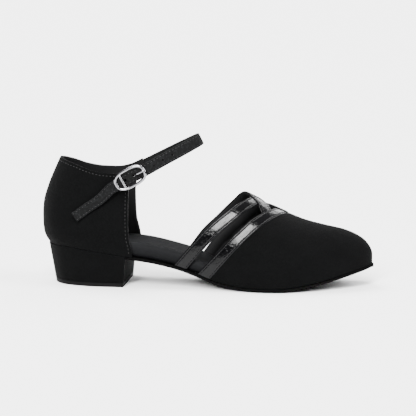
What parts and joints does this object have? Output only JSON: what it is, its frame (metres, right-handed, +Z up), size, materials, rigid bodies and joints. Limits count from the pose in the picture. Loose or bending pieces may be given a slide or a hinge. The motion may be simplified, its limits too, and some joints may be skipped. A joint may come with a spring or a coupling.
{
  "type": "ballroom dance shoe",
  "caption": "Black suede ballroom dance shoe for the right foot: closed toe, open waist, crossed patent instep straps, buckled ankle strap, low block heel.",
  "frame": {"origin": "middle of the heel's flat foot, on the floor", "axes": "+X to the toe, +Y to the inner (medial) side, +Z up"},
  "size_m": [0.249, 0.074, 0.1134],
  "materials": {
    "suede": "black suede, matt, short nap",
    "patent": "black patent leather, mirror gloss, stitched along both edges",
    "insole_lining": "dark grey soft lining leather, padded",
    "sole_leather": "thin dark sole leather, dull edge",
    "lift_rubber": "black rubber tread piece, matt",
    "bright_chrome": "polished chrome"
  },
  "bodies": {
    "root": {"outsole": "sole_leather", "heel_block": "suede", "top_lift": "lift_rubber", "insole": "insole_lining", "quarter": "suede", "vamp": "suede", "vamp_binding": "patent", "cross_straps": "patent", "ankle_strap": "suede", "buckle_tab": "suede", "buckle_frame": "bright_chrome", "buckle_prong": "bright_chrome"}
  },
  "joints": []
}
